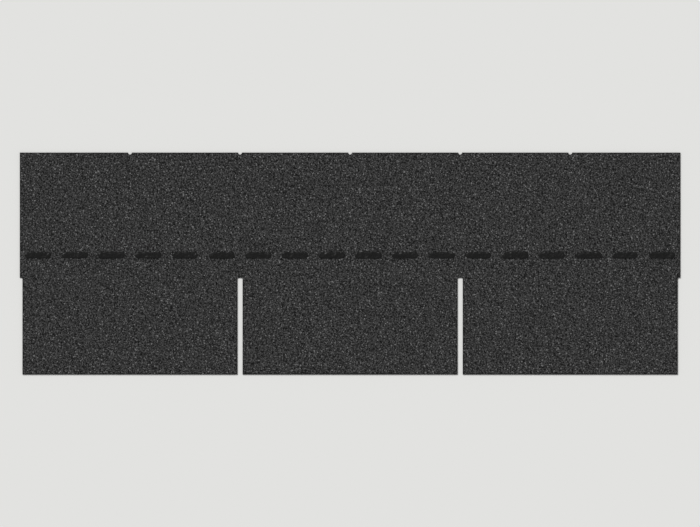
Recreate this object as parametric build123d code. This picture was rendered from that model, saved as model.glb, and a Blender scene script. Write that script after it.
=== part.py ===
from build123d import *
import os

# Three-tab asphalt strip shingle, lying flat with its granules up, in millimetres.
# +X runs along the strip and +Z is up. The tabs point towards -Y and the headlap towards +Y.
# The origin is the centre of the sheet's back.

# The sheet: glass mat, bitumen and granules rolled together, then die-cut
strip_length = 1000.0
strip_height = 336.0
sheet_thickness = 3.0
tab_count = 3

# The slots between the tabs. A strip ends in half a slot, so that two strips butt to a whole one.
exposure = 146.5            # height of a tab, and of each course as laid
slot_width = 8.0
slot_root_radius = 2.0

# Alignment nicks in the top edge, over the slots and the middles of the tabs
nick_radius = 3.0
nicks_per_tab = 2

# Self-seal adhesive: a line of beads across the headlap, above the slots
dabs_per_tab = 6
dab_length = 42.0
dab_width = 12.0
dab_crown = 0.8             # height of a bead over the sheet
dab_shoulder = 1.6          # how far in from its foot a bead is rounded off
dab_line_above_slots = 34.0

# What follows from them
tab_pitch = strip_length / tab_count
strip_left = -strip_length / 2
butt_edge = -strip_height / 2
top_edge = strip_height / 2
slot_top = butt_edge + exposure
root_radius = min(slot_root_radius, 0.49 * slot_width)


def slot_shape():
    """One slot of the die: straight-sided, open at the butt edge, with rounded root corners.

    It reaches past the butt edge by its own width, so the tab corners beside it stay square.
    """
    reach = exposure + slot_width
    blank = Pos(0, slot_top - reach / 2) * Rectangle(slot_width, reach)
    root_corners = blank.vertices().group_by(Axis.Y)[-1]
    return fillet(root_corners, root_radius)


def strip_outline():
    """The die-cut outline: a rectangle less its slots and its alignment nicks."""
    outline = Rectangle(strip_length, strip_height)
    slot = slot_shape()
    for joint in range(tab_count + 1):
        outline -= Pos(strip_left + joint * tab_pitch, 0) * slot
    nick_pitch = tab_pitch / nicks_per_tab
    for place in range(1, tab_count * nicks_per_tab):
        outline -= Pos(strip_left + place * nick_pitch, top_edge) * Circle(nick_radius)
    return outline


def shingle_strip():
    """The sheet, one solid from its back to the tops of its granules."""
    return extrude(strip_outline(), sheet_thickness)


def adhesive_dab():
    """One bead of adhesive, seated on z = 0 and lying along X.

    Its crown is flat, where the next strip in a bundle lies on it, and each shoulder is an arc
    that leaves the crown level and comes down to the foot. The same half section, turned about
    the centre of each end, rounds the two ends off.
    """
    half_width = dab_width / 2
    half_straight = (dab_length - dab_width) / 2
    centre, foot = (0, 0), (half_width, 0)
    crown_centre, crown_edge = (0, dab_crown), (half_width - dab_shoulder, dab_crown)

    crown = Line(crown_centre, crown_edge)
    shoulder = TangentArc(crown_edge, foot, tangent=(1, 0))
    half_section = make_face([crown, shoulder, Line(foot, centre), Line(centre, crown_centre)])

    section = half_section + mirror(half_section, Plane.YZ)
    middle = extrude(Plane.YZ * section, half_straight, both=True)
    left_end = revolve(Plane.YZ * half_section, Axis.Z, 180)
    right_end = Rot(0, 0, 180) * left_end
    return middle + Pos(-half_straight, 0, 0) * left_end + Pos(half_straight, 0, 0) * right_end


def seal_dabs():
    """All the beads in line along the headlap, seated on the granules."""
    dab = adhesive_dab()
    dab_pitch = tab_pitch / dabs_per_tab
    line_y = slot_top + dab_line_above_slots
    places = range(tab_count * dabs_per_tab)
    beads = [Pos(strip_left + (place + 0.5) * dab_pitch, line_y, sheet_thickness) * dab for place in places]
    return Compound(children=beads)


os.makedirs("parts", exist_ok=True)
export_step(shingle_strip(), "parts/shingle_strip.step")
export_step(seal_dabs(), "parts/seal_dabs.step")
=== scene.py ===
import math

import bpy
import numpy as np
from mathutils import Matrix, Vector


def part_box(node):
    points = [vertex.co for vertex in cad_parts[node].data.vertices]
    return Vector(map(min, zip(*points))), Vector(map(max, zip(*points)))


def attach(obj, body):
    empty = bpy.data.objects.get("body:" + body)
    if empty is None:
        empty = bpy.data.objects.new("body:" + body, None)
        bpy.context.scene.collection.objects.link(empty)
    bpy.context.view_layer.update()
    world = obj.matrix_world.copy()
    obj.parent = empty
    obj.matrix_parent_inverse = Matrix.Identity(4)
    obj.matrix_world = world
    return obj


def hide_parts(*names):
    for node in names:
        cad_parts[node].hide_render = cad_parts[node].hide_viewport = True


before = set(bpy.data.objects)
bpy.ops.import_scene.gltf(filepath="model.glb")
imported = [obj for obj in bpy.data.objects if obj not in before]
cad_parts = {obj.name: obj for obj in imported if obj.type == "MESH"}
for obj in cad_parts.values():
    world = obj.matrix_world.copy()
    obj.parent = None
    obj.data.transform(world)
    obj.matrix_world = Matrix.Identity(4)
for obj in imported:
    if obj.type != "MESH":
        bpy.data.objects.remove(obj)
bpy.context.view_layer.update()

# One three-tab asphalt strip shingle, lying flat with its granules up, in metres.
# +X runs along the strip, -Y towards the butt edge of the tabs, +Z out of the granules.

rng = np.random.default_rng(27)
MM = 0.001

# The strip, from the frame
(LEFT, BUTT, BACK), (RIGHT, TOP, GRANULE_TOP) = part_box("shingle_strip")
LENGTH, HEIGHT = RIGHT - LEFT, TOP - BUTT
CENTRE = np.array([LEFT + RIGHT, BUTT + TOP]) / 2

# The die: slots, half slots at the ends, and alignment nicks in the top edge
TABS = 3
TAB_PITCH = LENGTH / TABS
EXPOSURE = 146.5 * MM           # height of a tab, and of each course as laid
SLOT_WIDTH = 8 * MM
SLOT_TOP = BUTT + EXPOSURE
ROOT_RADIUS = 2 * MM
NICK_RADIUS = 3 * MM
NICK_PITCH = TAB_PITCH / 2
LAST_NICK = round(LENGTH / NICK_PITCH) - 1
ARC_STEP = 15                   # degrees from point to point of a round

# The coated sheet under the granules
COATING_TOP = BACK + 2.2 * MM
ARRIS = 0.25 * MM               # how far the cutting die rounds an edge over
MAT_LEVEL = BACK + 1.0 * MM     # the middle of the glass mat
MAT_HALF = 0.3 * MM             # half the mat's thickness
FILM_HALF = 16 * MM             # half the width of the release film on the back
FOOT = COATING_TOP - 0.1 * MM   # where granules and adhesive end, sunk in the coating

# The granules. Real ones lie about 1.4 mm apart; these are drawn coarser, to keep their number down.
# Each pair is the least and the most that a granule may have.
SPACING = 1.8 * MM
GRANULE_SIZE = (0.78, 1.22)     # times the spacing
FOOT_RADIUS = (0.72, 0.92)      # times the size
CROWN_RADIUS = (0.30, 0.60)     # times the size
STRETCH = (0.85, 1.18)          # times the radius one way, and divided into it the other way
GRANULE_RELIEF = (0.45, 1.0)    # times the room over the coating
CROWN_TILT = (0.62, 1.0)        # times the relief, for each point of the crown
FOOT_SCATTER = 0.2              # of the foot's points round the granule, in radians
CROWN_SCATTER = 0.25            # of the crown's points
GROUP = 2                       # cells along the side of a group that the blend is dealt to
STRAYS = 0.2                    # share of the granules that come from anywhere in the blend

# The die knocks granules off beside its cut, which bares the black coating there and outlines each tab with
# a thin dark line. That dark line is partly real bared coating and partly painted shadow: the shadow line
# that a laid tab casts along its cut. Each granule that reaches the line is broken off at its own distance
# from the cut.
BARE_AND_SHADOW_BAND = (0.5 * MM, 1.9 * MM)
HELD = 0.2 * MM                 # how far past that distance a granule's centre has to lie for it to stay on
BURIED = 3 * MM                 # how far inside a bead's rim a granule is left out

# The adhesive beads, from the frame. Each pair is the least and the most by which a bead falls short of it.
DABS_PER_TAB = 6
DAB_COUNT = TABS * DABS_PER_TAB
DAB_PITCH = TAB_PITCH / DABS_PER_TAB
DAB_PLACES = LEFT + (np.arange(DAB_COUNT) + 0.5) * DAB_PITCH
(_, DAB_FRONT, _), (_, DAB_REAR, DAB_CROWN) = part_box("seal_dabs")
DAB_LINE = (DAB_FRONT + DAB_REAR) / 2
DAB_HALF_WIDTH = (DAB_REAR - DAB_FRONT) / 2
DAB_HALF_STRAIGHT = 15 * MM     # half of a bead's straight middle
DAB_SLIMMER = (0.4 * MM, 0.9 * MM)
DAB_SHORTER = (0, 0.8 * MM)
DAB_SHOULDER = 2.2 * MM         # how far in from its rim a bead is rounded off
DAB_WANDER = 0.4 * MM           # how far a rim wanders to either side
DAB_ROLL = 0.12 * MM            # how far the crown rolls up and down, along a bead and again across it
BEAD_ROWS = 39                  # rows of points across a bead, between its tips
ROW_POINTS = 15                 # points in a row

# The patterns in the finishes, each from one point of it to the next
PITS = 0.3 * MM                 # in a granule's ceramic coat
FILLER = 0.5 * MM               # specks of limestone in the coating, drawn coarser than they are
FIBRES = 0.6 * MM               # ends of the mat's glass fibres, drawn coarser than they are
MAT_WAVER = 15 * MM             # the mat's slow rise and fall
SAND = 0.8 * MM                 # on the back, drawn coarser than it is
DUST = 1.2 * MM                 # patches of dust on the beads
SKIN_WAVES = 8 * MM             # in the beads' skin


# Meshes

def placed(name, mesh, finish):
    """The mesh as a piece at the origin with flat faces, its finish and its body."""
    mesh.materials.append(finish)
    mesh.shade_flat()
    piece = bpy.data.objects.new(name, mesh)
    bpy.context.scene.collection.objects.link(piece)
    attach(piece, "root")
    return piece


def mesh_piece(name, points, faces, finish):
    """A new piece from its points and its faces."""
    mesh = bpy.data.meshes.new(name)
    mesh.from_pydata(points, [], faces)
    return placed(name, mesh, finish)


# The die-cut outline

def arc(centre, radius, start, end):
    """Points on a circle: the centre plus the radius turned from start to end, in degrees."""
    turn = np.radians(np.linspace(start, end, abs(end - start) // ARC_STEP + 1))
    return np.array(centre) + radius * np.stack([np.cos(turn), np.sin(turn)], 1)


def slot_rim(x):
    """The rim of one slot from its left corner up, over its rounded root and down to its right corner."""
    half_width = SLOT_WIDTH / 2
    inner = half_width - ROOT_RADIUS
    shoulder = SLOT_TOP - ROOT_RADIUS
    left_root = arc((x - inner, shoulder), ROOT_RADIUS, 180, 90)
    right_root = arc((x + inner, shoulder), ROOT_RADIUS, 90, 0)
    return np.concatenate([[(x - half_width, BUTT)], left_root, right_root, [(x + half_width, BUTT)]])


def cut_outline():
    """The die-cut outline, anticlockwise from the left whole slot's left corner.

    Along the butt edge it runs round each slot. An end of the strip takes half a slot's rim. The top edge
    runs back through the nicks, which are half circles.
    """
    slots = [slot_rim(LEFT + joint * TAB_PITCH) for joint in range(TABS + 1)]
    middle = len(slots[0]) // 2
    right_end = [*slots[-1][:middle], (RIGHT, SLOT_TOP), (RIGHT, TOP)]
    left_end = [(LEFT, TOP), (LEFT, SLOT_TOP), *slots[0][middle:]]
    nick_places = LEFT + np.arange(LAST_NICK, 0, -1) * NICK_PITCH
    nicks = [arc((x, TOP), NICK_RADIUS, 0, -180) for x in nick_places]
    return np.concatenate([*slots[1:-1], right_end, *nicks, left_end])


def past_the_cut(x, y):
    """How far a point lies outside the die-cut outline; negative inside.

    It is the greatest of three: the distance past the rectangle's nearest edge, the depth into the nearest
    slot, which is a box with rounded root corners and no end at the butt edge, and the depth into the nearest
    nick.
    """
    sheet = np.maximum(np.abs(x - CENTRE[0]) - LENGTH / 2, np.abs(y - CENTRE[1]) - HEIGHT / 2)
    from_slot = np.abs((x - LEFT + TAB_PITCH / 2) % TAB_PITCH - TAB_PITCH / 2)
    across = from_slot - (SLOT_WIDTH / 2 - ROOT_RADIUS)
    up = y - (SLOT_TOP - ROOT_RADIUS)
    corner = np.hypot(np.maximum(across, 0), np.maximum(up, 0))
    slot = corner + np.minimum(np.maximum(across, up), 0) - ROOT_RADIUS
    nearest = np.clip(np.round((x - LEFT) / NICK_PITCH), 1, LAST_NICK)
    nick = np.hypot(x - LEFT - nearest * NICK_PITCH, y - TOP) - NICK_RADIUS
    return np.maximum.reduce([sheet, -slot, -nick])


def trimmed(x, y, bare_and_shadow):
    """Points moved back to lie at least this far inside the cut.

    Each one moves down the slope of its distance past the cut, by as much as it is over. A corner takes two
    moves.
    """
    step = 0.01 * MM
    for _ in range(2):
        over = np.maximum(past_the_cut(x, y) + bare_and_shadow, 0)
        slope_x = (past_the_cut(x + step, y) - past_the_cut(x - step, y)) / (2 * step)
        slope_y = (past_the_cut(x, y + step) - past_the_cut(x, y - step)) / (2 * step)
        x, y = x - over * slope_x, y - over * slope_y
    return x, y


def carried_round(path, profile):
    """A profile carried round a closed path in plan, as points in rings and faces that close it.

    Each ring is the path moved inwards, along the mitre of its two edges at each point, by the profile's
    inset, at the profile's height. The first ring's face looks down and the last one's looks up.
    """
    along = np.roll(path, -1, 0) - path
    along /= np.linalg.norm(along, axis=1)[:, None]
    outwards = np.stack([along[:, 1], -along[:, 0]], 1)
    before = np.roll(outwards, 1, 0)
    mitre = (outwards + before) / (1 + (outwards * before).sum(1))[:, None]
    rings = [np.column_stack([path - inset * mitre, np.full(len(path), z)]) for inset, z in profile]

    count = len(path)
    here = np.arange(count)
    beside = np.roll(here, -1)
    band = np.stack([here, beside, beside + count, here + count], 1)
    sides = np.concatenate([band + ring * count for ring in range(len(rings) - 1)])
    bottom = here[::-1].tolist()
    top = (here + (len(rings) - 1) * count).tolist()
    return np.concatenate(rings), [*sides.tolist(), bottom, top]


# The granules

def under_a_bead(x, y):
    """How far inside the nearest bead's rim a point lies; negative outside.

    It is the bead's half width, less the distance to the line along the middle of its straight part.
    """
    from_bead = np.abs((x - LEFT) % DAB_PITCH - DAB_PITCH / 2)
    return DAB_HALF_WIDTH - np.hypot(np.maximum(from_bead - DAB_HALF_STRAIGHT, 0), y - DAB_LINE)


def dealt_shades(row, column):
    """The shade of each cell's granule: its place in the blend, with 0 at the darkest and 1 at the lightest.

    The cells of a square group get the equal parts of the blend in random order, one each. Then some granules
    stray, and come from anywhere in it. So like colours crowd less than by chance, and the grain is crisp.
    """
    group = row // GROUP * (column.max() // GROUP + 1) + column // GROUP
    cell = row % GROUP * GROUP + column % GROUP
    part = rng.uniform(0, 1, (group.max() + 1, GROUP ** 2)).argsort(1)
    even = (part[group, cell] + rng.uniform(0, 1, row.size)) / GROUP ** 2
    strayed = rng.uniform(0, 1, row.size) < STRAYS
    return np.where(strayed, rng.uniform(0, 1, row.size), even)


def granule_places():
    """The granules' centres and shades, and how far from the cut each is broken off if it reaches that far.

    One centre lies anywhere in each cell of an even packing, in which every second row is shifted by half a
    cell. A shake as wide as the cell leaves no trace of the rows, which would beat against the picture's
    pixels. Granules well under a bead are left out, because nothing shows them.
    """
    row_pitch = SPACING * math.sqrt(3) / 2
    row, column = np.mgrid[:int(HEIGHT / row_pitch) + 2, :int(LENGTH / SPACING) + 2].reshape(2, -1)
    x = LEFT + (column + row % 2 / 2 + rng.uniform(-0.5, 0.5, row.size)) * SPACING
    y = BUTT + (row + rng.uniform(-0.5, 0.5, row.size)) * row_pitch
    # How far from the cut each granule breaks off; the dark band this leaves round each tab is partly painted
    # shadow
    bare_and_shadow = rng.uniform(*BARE_AND_SHADOW_BAND, row.size)
    shade = dealt_shades(row, column)
    kept = (past_the_cut(x, y) < -bare_and_shadow - HELD) & (under_a_bead(x, y) < BURIED)
    return x[kept], y[kept], shade[kept], bare_and_shadow[kept]


# A granule is a foot triangle and a crown triangle turned half a corner against it, with six sides between.
GRANULE_POINTS = 6
GRANULE_FACES = np.array([
    (3, 4, 5), (0, 2, 1),
    (0, 1, 3), (1, 2, 4), (2, 0, 5),
    (4, 3, 1), (5, 4, 2), (3, 5, 0),
])


def granule_points(x, y, bare_and_shadow):
    """Angular crushed grains pressed into the coating.

    A point of the foot or crown lies at a random radius from the grain's centre, a third of a turn from the
    next with some scatter, and the plan is stretched one way. Each crown point has a height of its own, so
    the crown leans. Beside the cut the die breaks grains off, each at its own distance from it. The dark band
    of coating this leaves round each tab is partly painted shadow.
    """
    count = len(x)
    size = SPACING * rng.uniform(*GRANULE_SIZE, (count, 1))
    thirds = np.arange(3) * 2 * np.pi / 3
    foot_turn = thirds + rng.normal(0, FOOT_SCATTER, (count, 3))
    crown_turn = thirds + np.pi / 3 + rng.normal(0, CROWN_SCATTER, (count, 3))
    turn = np.hstack([foot_turn, crown_turn])
    foot_radius = rng.uniform(*FOOT_RADIUS, (count, 3))
    crown_radius = rng.uniform(*CROWN_RADIUS, (count, 3))
    radius = size * np.hstack([foot_radius, crown_radius])
    stretch = rng.uniform(*STRETCH, (count, 1))
    lean = rng.uniform(0, 2 * np.pi, (count, 1))
    east, north = radius * np.cos(turn) * stretch, radius * np.sin(turn) / stretch
    px = x[:, None] + east * np.cos(lean) - north * np.sin(lean)
    py = y[:, None] + east * np.sin(lean) + north * np.cos(lean)
    px, py = trimmed(px, py, bare_and_shadow[:, None])
    relief = (GRANULE_TOP - COATING_TOP) * rng.uniform(*GRANULE_RELIEF, (count, 1))
    crown = COATING_TOP + relief * rng.uniform(*CROWN_TILT, (count, 3))
    foot = np.full((count, 3), FOOT)
    return np.stack([px, py, np.hstack([foot, crown])], 2)


def granule_piece(name, points, tone, finish):
    """Granules of one colour as one mesh, with each one's tone as an attribute.

    In the map, a granule's faces lie on one spot a few pixels wide: across by its tone, up at random. So a
    picture baked through it holds one even colour for each granule.
    """
    count = len(points)
    faces = (GRANULE_FACES + GRANULE_POINTS * np.arange(count)[:, None, None]).reshape(-1, 3)
    mesh = bpy.data.meshes.new(name)
    mesh.vertices.add(GRANULE_POINTS * count)
    mesh.vertices.foreach_set("co", points.astype(np.float32).ravel())
    mesh.loops.add(faces.size)
    mesh.loops.foreach_set("vertex_index", faces.astype(np.int32).ravel())
    mesh.polygons.add(len(faces))
    mesh.polygons.foreach_set("loop_start", np.arange(0, faces.size, 3, dtype=np.int32))
    mesh.update()
    tones = mesh.attributes.new("tone", "FLOAT", "POINT")
    tones.data.foreach_set("value", np.repeat(tone, GRANULE_POINTS).astype(np.float32))

    spot = 0.003
    corner = np.stack([tone, rng.uniform(0, 1, count)], 1) * (1 - spot)
    uv = corner[:, None, None] + spot * np.array([(0, 0), (1, 0), (0, 1)])[None, None]
    uv = np.broadcast_to(uv, (count, len(GRANULE_FACES), 3, 2))
    uv_map = mesh.uv_layers.new(name="OFBake", do_init=False)
    uv_map.uv.foreach_set("vector", uv.astype(np.float32).ravel())
    return placed(name, mesh, finish)


# The adhesive beads

def ripple(lap, waves, most):
    """A slow random ripple: sines of these numbers of waves in a lap, which add up to at most this much."""
    phase = rng.uniform(0, 2 * np.pi, len(waves))
    return most / len(waves) * sum(np.sin(wave * lap + start) for wave, start in zip(waves, phase))


def bead_points(x):
    """One bead of adhesive at x: a profile carried along it in rows, and then a point at each tip.

    In plan it is a straight with round ends. Rows and points are spaced by sines, so that they close up
    towards the tips and the rims. The front and rear rims wander where the bead ran in among the granules,
    which fades out towards its middle line and its tips. The height rises as a quarter of an ellipse over the
    shoulder, and rolls slowly over the crown, along the bead and aslant across it.
    """
    half_width = DAB_HALF_WIDTH - rng.uniform(*DAB_SLIMMER)
    half_straight = DAB_HALF_STRAIGHT - rng.uniform(*DAB_SHORTER)
    reach = half_straight + half_width
    turn = np.linspace(-np.pi / 2, np.pi / 2, BEAD_ROWS + 2)[1:-1, None]
    side = np.linspace(-np.pi / 2, np.pi / 2, ROW_POINTS)[None]
    east = reach * np.sin(turn)
    past_straight = np.maximum(np.abs(east) - half_straight, 0)
    width = np.sqrt(half_width ** 2 - past_straight ** 2)
    north = width * np.sin(side)

    inside = half_width - np.hypot(past_straight, north)
    climb = np.clip(inside / DAB_SHOULDER, 0, 1)
    lap_along, lap_across = 2 * turn, 2 * side
    rear = ripple(lap_along, (3, 6, 9), DAB_WANDER)
    front = ripple(lap_along, (3, 6, 9), DAB_WANDER)
    north = north + np.where(side > 0, rear, front) * np.abs(np.sin(side)) * width / half_width
    roll_along = ripple(lap_along, (2, 4, 6), DAB_ROLL)
    roll_across = ripple(lap_across + lap_along / 2, (1, 2), DAB_ROLL)
    crown = DAB_CROWN - 2 * DAB_ROLL + roll_along + roll_across
    up = FOOT + (crown - FOOT) * np.sqrt(1 - (1 - climb) ** 2)

    rows = np.stack(np.broadcast_arrays(x + east, DAB_LINE + north, up), 2).reshape(-1, 3)
    tips = [(x - reach, DAB_LINE, FOOT), (x + reach, DAB_LINE, FOOT)]
    return np.concatenate([rows, tips])


def bead_faces():
    """The faces that close a bead: quads between its rows, over it and under it, and a fan at each tip."""
    row, place = np.mgrid[:BEAD_ROWS - 1, :ROW_POINTS].reshape(2, -1)
    here = row * ROW_POINTS + place
    beside = row * ROW_POINTS + (place + 1) % ROW_POINTS
    quads = np.stack([beside, here, here + ROW_POINTS, beside + ROW_POINTS], 1)

    first_row = np.arange(ROW_POINTS)
    next_in_row = np.roll(first_row, -1)
    last_row = (BEAD_ROWS - 1) * ROW_POINTS
    left_tip = BEAD_ROWS * ROW_POINTS
    right_tip = left_tip + 1
    left_fan = np.stack([first_row, next_in_row, np.full(ROW_POINTS, left_tip)], 1)
    right_fan = np.stack([last_row + next_in_row, last_row + first_row, np.full(ROW_POINTS, right_tip)], 1)
    return quads, np.concatenate([left_fan, right_fan])


# Finishes

def linear(hex_colour):
    """An sRGB hex colour as linear red, green, blue and alpha."""
    srgb = np.array([int(hex_colour[i:i + 2], 16) for i in (1, 3, 5)]) / 255
    low, high = srgb / 12.92, ((srgb + 0.055) / 1.055) ** 2.4
    return (*np.where(srgb <= 0.04045, low, high), 1.0)


def add(owner, kind, settings=None, **inputs):
    """Adds a node to a material or the world, with its settings.

    Each input is set to a value, or linked where it is another node's output. An input is named with
    underscores for spaces, or, where sockets share a name, by an underscore and its place in the node.
    """
    node = owner.node_tree.nodes.new("ShaderNode" + kind)
    for name, value in (settings or {}).items():
        setattr(node, name, value)
    for name, value in inputs.items():
        key = int(name[1:]) if name[1:].isdigit() else name.replace("_", " ")
        if isinstance(value, bpy.types.NodeSocket):
            owner.node_tree.links.new(value, node.inputs[key])
        else:
            node.inputs[key].default_value = value
    return node


# The settings of a Mix node that mixes colours: its factor is socket 0, its colours are sockets 6 and 7, and
# its result is output 2.
COLOURS = {"data_type": "RGBA"}


def new_material(name):
    """An empty node material."""
    material = bpy.data.materials.new(name)
    material.use_nodes = True
    material.node_tree.nodes.clear()
    return material


def ceramic_coated_rock(colour, dark, light):
    """Crushed rock with a fired ceramic coat of pigment: matt, dull and finely pitted.

    A granule's tone sets its colour between the two that the kiln gives.
    """
    material = new_material(f"{colour}_ceramic_coated_rock")
    tone = add(material, "Attribute", {"attribute_name": "tone"})
    glaze = add(material, "Mix", COLOURS, _0=tone.outputs["Fac"], _6=linear(dark), _7=linear(light))
    place = add(material, "TexCoord").outputs["Object"]
    pits = add(material, "TexNoise", Vector=place, Scale=1 / PITS, Detail=2.0)
    roughness = add(material, "MapRange", Value=pits.outputs[0], To_Min=0.65, To_Max=0.85)
    relief = add(material, "Bump", Height=pits.outputs[0], Strength=0.5, Distance=0.05 * MM)
    shader = add(material, "BsdfPrincipled", Base_Color=glaze.outputs[2], Roughness=roughness.outputs[0],
                 Specular_IOR_Level=0.08, Normal=relief.outputs[0])
    add(material, "OutputMaterial", Surface=shader.outputs[0])
    return material


def cut_face(material, place, height):
    """The colour of the die's cut: black, with paler specks of filler and a thin broken line of glass fibres.

    The line lies within half the mat's thickness of a level that wavers slowly along the cut, and fades out
    over the outer half of that.
    """
    filler = add(material, "TexNoise", Vector=place, Scale=1 / FILLER, Detail=3.0)
    speck = add(material, "MapRange", Value=filler.outputs[0], From_Min=0.62, From_Max=0.7)
    bitumen = add(material, "Mix", COLOURS, _0=speck.outputs[0], _6=linear("#101010"), _7=linear("#303030"))
    fibres = add(material, "TexNoise", Vector=place, Scale=1 / FIBRES, Detail=3.0)
    bared = add(material, "MapRange", Value=fibres.outputs[0], From_Min=0.46, From_Max=0.62)
    waver = add(material, "TexNoise", Vector=place, Scale=1 / MAT_WAVER, Detail=2.0)
    level = add(material, "MapRange", Value=waver.outputs[0],
                To_Min=MAT_LEVEL - MAT_HALF, To_Max=MAT_LEVEL + MAT_HALF)
    off_level = add(material, "Math", {"operation": "SUBTRACT"}, _0=height, _1=level.outputs[0])
    distance = add(material, "Math", {"operation": "ABSOLUTE"}, _0=off_level.outputs[0])
    in_mat = add(material, "MapRange", Value=distance.outputs[0], From_Min=MAT_HALF / 2, From_Max=MAT_HALF,
                 To_Min=1.0, To_Max=0.0)
    mat = add(material, "Math", {"operation": "MULTIPLY"}, _0=bared.outputs[0], _1=in_mat.outputs[0])
    face = add(material, "Mix", COLOURS, _0=mat.outputs[0], _6=bitumen.outputs[2], _7=linear("#565450"))
    return face.outputs[2]


def sanded_back(material, sand, film):
    """The colour of the back: grey sand with dark gaps between its grains, dim under the release film."""
    grain = add(material, "SeparateColor", Color=sand.outputs["Color"])
    grains = add(material, "Mix", COLOURS, _0=grain.outputs[0], _6=linear("#2C2B29"), _7=linear("#6A6762"))
    gap = add(material, "MapRange", Value=sand.outputs["Distance"], From_Min=0.45, From_Max=0.65)
    dusted = add(material, "Mix", COLOURS, _0=gap.outputs[0], _6=grains.outputs[2], _7=linear("#161616"))
    cover = add(material, "Math", {"operation": "MULTIPLY"}, _0=film, _1=0.8)
    face = add(material, "Mix", COLOURS, _0=cover.outputs[0], _6=dusted.outputs[2], _7=linear("#232426"))
    return face.outputs[2]


def die_cut_asphalt():
    """Oxidised bitumen filled with ground limestone, rolled on a glass mat, sanded on the back and die-cut.

    The cut is black and dull. The back is grey with fine sand, except along a band of clear release film,
    which is smooth and darker. The relief of the sand also roughens the cut and the coating bared beside it,
    whose black band round each tab is partly painted shadow.
    """
    material = new_material("die_cut_asphalt")
    place = add(material, "TexCoord").outputs["Object"]
    axes = add(material, "SeparateXYZ", Vector=place)
    height = axes.outputs["Z"]
    sand = add(material, "TexVoronoi", Vector=place, Scale=1 / SAND)
    film = add(material, "Math", {"operation": "COMPARE"}, _0=axes.outputs["Y"], _1=DAB_LINE, _2=FILM_HALF)
    on_back = add(material, "Math", {"operation": "LESS_THAN"}, _0=height, _1=BACK + ARRIS / 2)
    filmed = add(material, "Math", {"operation": "MULTIPLY"}, _0=film.outputs[0], _1=on_back.outputs[0])

    cut = cut_face(material, place, height)
    back = sanded_back(material, sand, film.outputs[0])
    colour = add(material, "Mix", COLOURS, _0=on_back.outputs[0], _6=cut, _7=back)
    roughness = add(material, "MapRange", Value=filmed.outputs[0], To_Min=0.75, To_Max=0.3)
    loose = add(material, "MapRange", Value=filmed.outputs[0], To_Min=0.8, To_Max=0.1)
    relief = add(material, "Bump", {"invert": True}, Height=sand.outputs["Distance"],
                 Strength=loose.outputs[0], Distance=0.3 * MM)
    shader = add(material, "BsdfPrincipled", Base_Color=colour.outputs[2], Roughness=roughness.outputs[0],
                 Specular_IOR_Level=0.2, Normal=relief.outputs[0])
    add(material, "OutputMaterial", Surface=shader.outputs[0])
    return material


def rubberised_bitumen():
    """Bitumen thickened with rubber and printed hot.

    It is near black and shiny, with slow ripples in its skin and some dust on it, which dulls it.
    """
    material = new_material("rubberised_bitumen")
    place = add(material, "TexCoord").outputs["Object"]
    dust = add(material, "TexNoise", Vector=place, Scale=1 / DUST, Detail=4.0)
    settled = add(material, "MapRange", Value=dust.outputs[0], From_Min=0.45, From_Max=0.75)
    colour = add(material, "Mix", COLOURS, _0=settled.outputs[0], _6=linear("#080808"), _7=linear("#1C1C1C"))
    roughness = add(material, "MapRange", Value=settled.outputs[0], To_Min=0.28, To_Max=0.5)
    waves = add(material, "TexNoise", Vector=place, Scale=1 / SKIN_WAVES, Detail=1.0)
    relief = add(material, "Bump", Height=waves.outputs[0], Strength=1.0, Distance=2.0 * MM)
    shader = add(material, "BsdfPrincipled", Base_Color=colour.outputs[2], Roughness=roughness.outputs[0],
                 Specular_IOR_Level=0.15, Normal=relief.outputs[0])
    add(material, "OutputMaterial", Surface=shader.outputs[0])
    return material


# The coated sheet, which stands for the whole strip with its granules on it

EDGE_PROFILE = [
    (ARRIS, BACK),
    (0, BACK + ARRIS),
    (0, COATING_TOP - ARRIS),
    (ARRIS, COATING_TOP),
]
sheet_points, sheet_faces = carried_round(cut_outline(), EDGE_PROFILE)
coated_sheet = mesh_piece("coated_sheet", sheet_points, sheet_faces, die_cut_asphalt())
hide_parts("shingle_strip")

# The granules, a blend of six colours from dark to light: name, share of the blend, darkest and lightest

BLEND = [
    ("black", 0.13, "#080808", "#181818"),
    ("charcoal", 0.17, "#1F1F1F", "#2E2E2E"),
    ("slate", 0.21, "#313131", "#3B3B3B"),
    ("iron_grey", 0.21, "#3C3C3C", "#464646"),
    ("ash_grey", 0.205, "#474747", "#515151"),
    ("pale", 0.075, "#525252", "#787878"),
]
x, y, shade, bare_and_shadow = granule_places()
granules = granule_points(x, y, bare_and_shadow)
darker = 0
for colour, share, dark, light in BLEND:
    tone = (shade - darker) / share
    alike = (tone >= 0) & (tone < 1)
    finish = ceramic_coated_rock(colour, dark, light)
    granule_piece(f"{colour}_granules", granules[alike], tone[alike], finish)
    darker += share

# The adhesive beads

beads = [bead_points(x) for x in DAB_PLACES]
quads, fans = bead_faces()
dab_faces = []
for number, points in enumerate(beads):
    first = number * len(points)
    dab_faces += [*(quads + first).tolist(), *(fans + first).tolist()]
adhesive_beads = mesh_piece("adhesive_beads", np.concatenate(beads), dab_faces, rubberised_bitumen())
adhesive_beads.data.shade_smooth()
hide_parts("seal_dabs")

# The stage: a pale floor that reaches out of sight, just under the back so that the two faces stay apart

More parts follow.
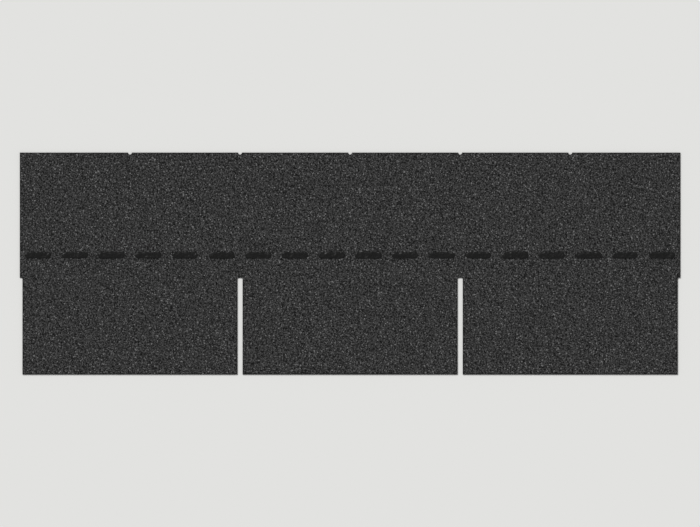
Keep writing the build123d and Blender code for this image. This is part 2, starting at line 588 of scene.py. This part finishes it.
FLOOR_COLOUR = "#E2E2E0"
FLOOR_REACH = 30
FLOOR_LEVEL = BACK - 0.02 * MM
floor_corners = np.array([(-1, -1, 0), (1, -1, 0), (1, 1, 0), (-1, 1, 0)]) * FLOOR_REACH
floor_mesh = bpy.data.meshes.new("floor")
floor_mesh.from_pydata(floor_corners + [0, 0, FLOOR_LEVEL], [], [(0, 1, 2, 3)])
floor = bpy.data.objects.new("floor", floor_mesh)
bpy.context.scene.collection.objects.link(floor)
floor_paint = new_material("pale_matt_paint")
paint = add(floor_paint, "BsdfPrincipled", Base_Color=linear(FLOOR_COLOUR), Roughness=0.9,
            Specular_IOR_Level=0.0)
add(floor_paint, "OutputMaterial", Surface=paint.outputs[0])
floor_mesh.materials.append(floor_paint)

# An even sky lights the strip, and the camera and the reflections see the floor's colour in its place

SKY_LEVEL = 0.4
world = bpy.data.worlds.new("studio")
world.use_nodes = True
world.node_tree.nodes.clear()
sky = add(world, "Background", Color=(1, 1, 1, 1), Strength=SKY_LEVEL)
backdrop = add(world, "Background", Color=linear(FLOOR_COLOUR), Strength=1.0)
ray = add(world, "LightPath")
direct = add(world, "Math", {"operation": "MAXIMUM"}, _0=ray.outputs["Is Camera Ray"],
             _1=ray.outputs["Is Glossy Ray"])
seen = add(world, "Math", {"operation": "MAXIMUM"}, _0=direct.outputs[0],
           _1=ray.outputs["Is Transmission Ray"])
both = add(world, "MixShader", _0=seen.outputs[0], _1=sky.outputs[0], _2=backdrop.outputs[0])
add(world, "OutputWorld", Surface=both.outputs[0])
bpy.context.scene.world = world

# The key light is wide and soft, and comes from beyond the top edge, on the left. On a level face it adds
# what the sky's level leaves of 1, at which a colour renders as it is written.

KEY_ELEVATION = math.radians(48)
KEY_BEARING = math.radians(130)     # anticlockwise from +X
KEY_SPREAD = math.radians(14)
key = bpy.data.lights.new("key", "SUN")
key.energy = math.pi * (1 - SKY_LEVEL) / math.sin(KEY_ELEVATION)
key.angle = KEY_SPREAD
key_light = bpy.data.objects.new("key", key)
key_light.rotation_euler = (0, math.pi / 2 - KEY_ELEVATION, KEY_BEARING)
bpy.context.scene.collection.objects.link(key_light)

# The camera looks straight down, as the photograph does

VIEW_WIDTH = 1.06 * LENGTH
CAMERA_HEIGHT = 2.0
camera = bpy.data.cameras.new("camera")
camera.type = "ORTHO"
camera.ortho_scale = VIEW_WIDTH
camera_object = bpy.data.objects.new("camera", camera)
camera_object.location = (*CENTRE, CAMERA_HEIGHT)
bpy.context.scene.collection.objects.link(camera_object)
bpy.context.scene.camera = camera_object
bpy.context.scene.view_settings.view_transform = "Standard"
